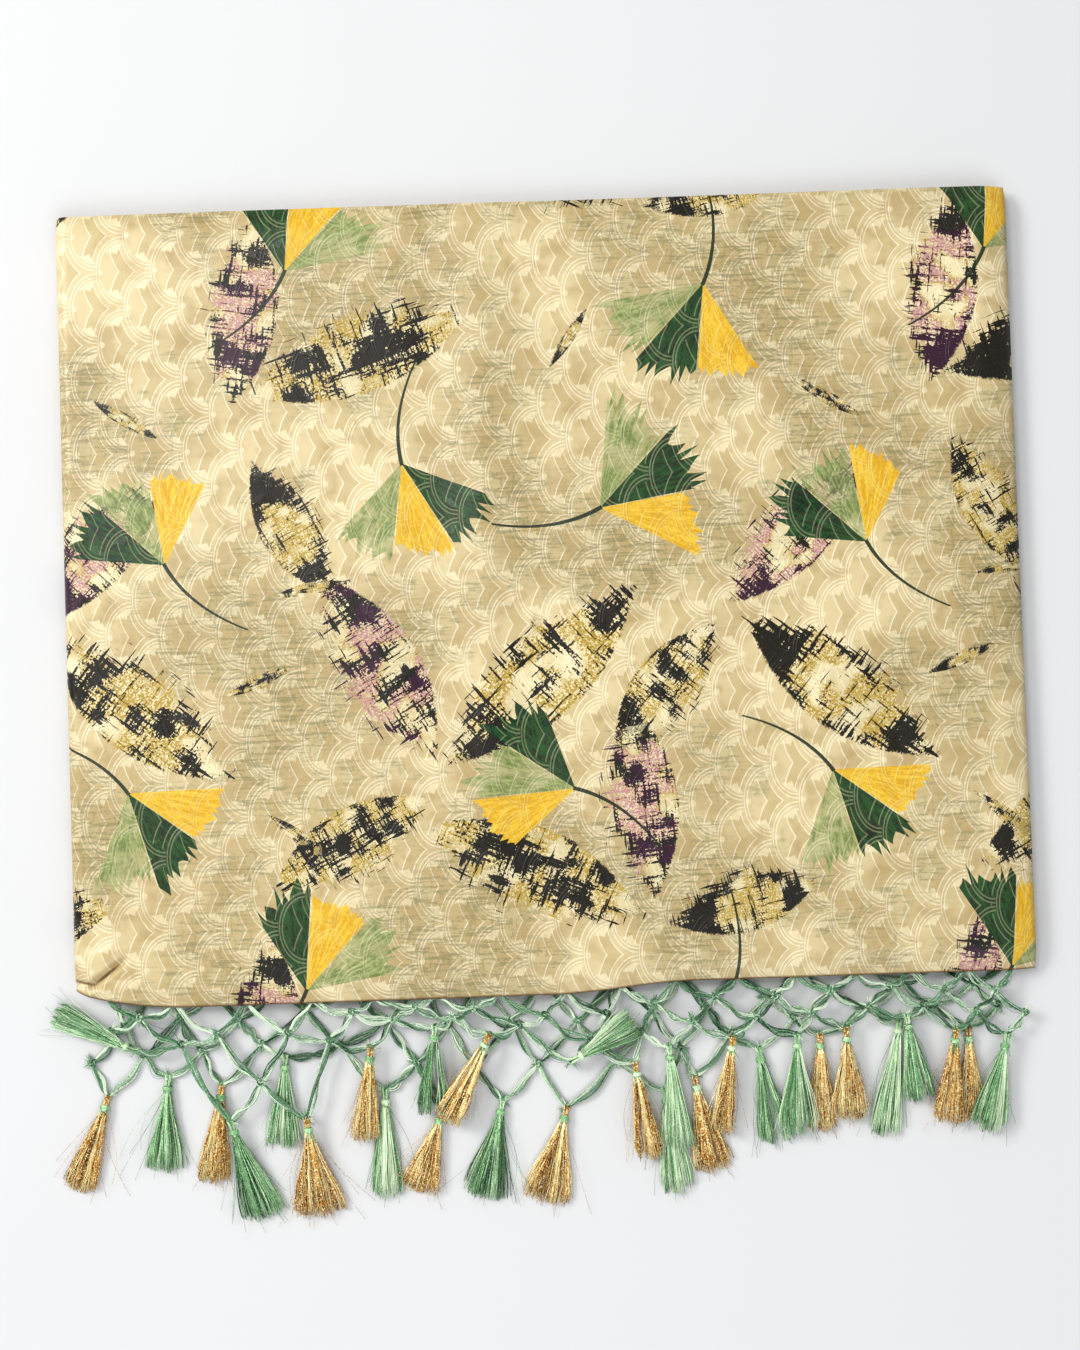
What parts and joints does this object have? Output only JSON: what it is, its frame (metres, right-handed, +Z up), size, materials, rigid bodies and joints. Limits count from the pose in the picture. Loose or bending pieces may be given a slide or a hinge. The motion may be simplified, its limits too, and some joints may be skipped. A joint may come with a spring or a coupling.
{
  "type": "folded saree",
  "caption": "Folded tan-gold silk saree with a green and yellow leaf and fan-flower print, knotted net fringe and silk tassels.",
  "frame": {"origin": "middle of the flat underside of the folded cloth, on the surface it lies on", "axes": "+Z up out of the cloth, +X from the thick fold towards the selvedges, -Y towards the fringe"},
  "size_m": [0.5745, 0.5917, 0.0169],
  "materials": {
    "printed_silk": "satin",
    "net_silk": "satin",
    "green_silk": "satin",
    "gold_silk": "satin"
  },
  "bodies": {
    "root": {"pallu_panel": "printed_silk", "folded_layers": "printed_silk", "fringe_upper": "net_silk", "fringe_lower": "net_silk", "tassel_01": "green_silk", "tassel_02": "gold_silk", "tassel_03": "green_silk", "tassel_04": "gold_silk", "tassel_05": "green_silk", "tassel_06": "green_silk", "tassel_07": "gold_silk", "tassel_08": "gold_silk", "tassel_09": "green_silk", "tassel_10": "green_silk", "tassel_11": "gold_silk", "tassel_12": "gold_silk", "tassel_13": "green_silk", "tassel_14": "gold_silk", "tassel_15": "green_silk", "tassel_16": "gold_silk", "tassel_17": "green_silk", "tassel_18": "green_silk", "tassel_19": "gold_silk", "tassel_20": "gold_silk", "tassel_21": "green_silk", "tassel_22": "green_silk", "tassel_23": "gold_silk", "tassel_24": "gold_silk", "tassel_25": "green_silk", "tassel_26": "green_silk", "tassel_27": "gold_silk", "tassel_28": "gold_silk", "tassel_29": "green_silk"}
  },
  "joints": []
}
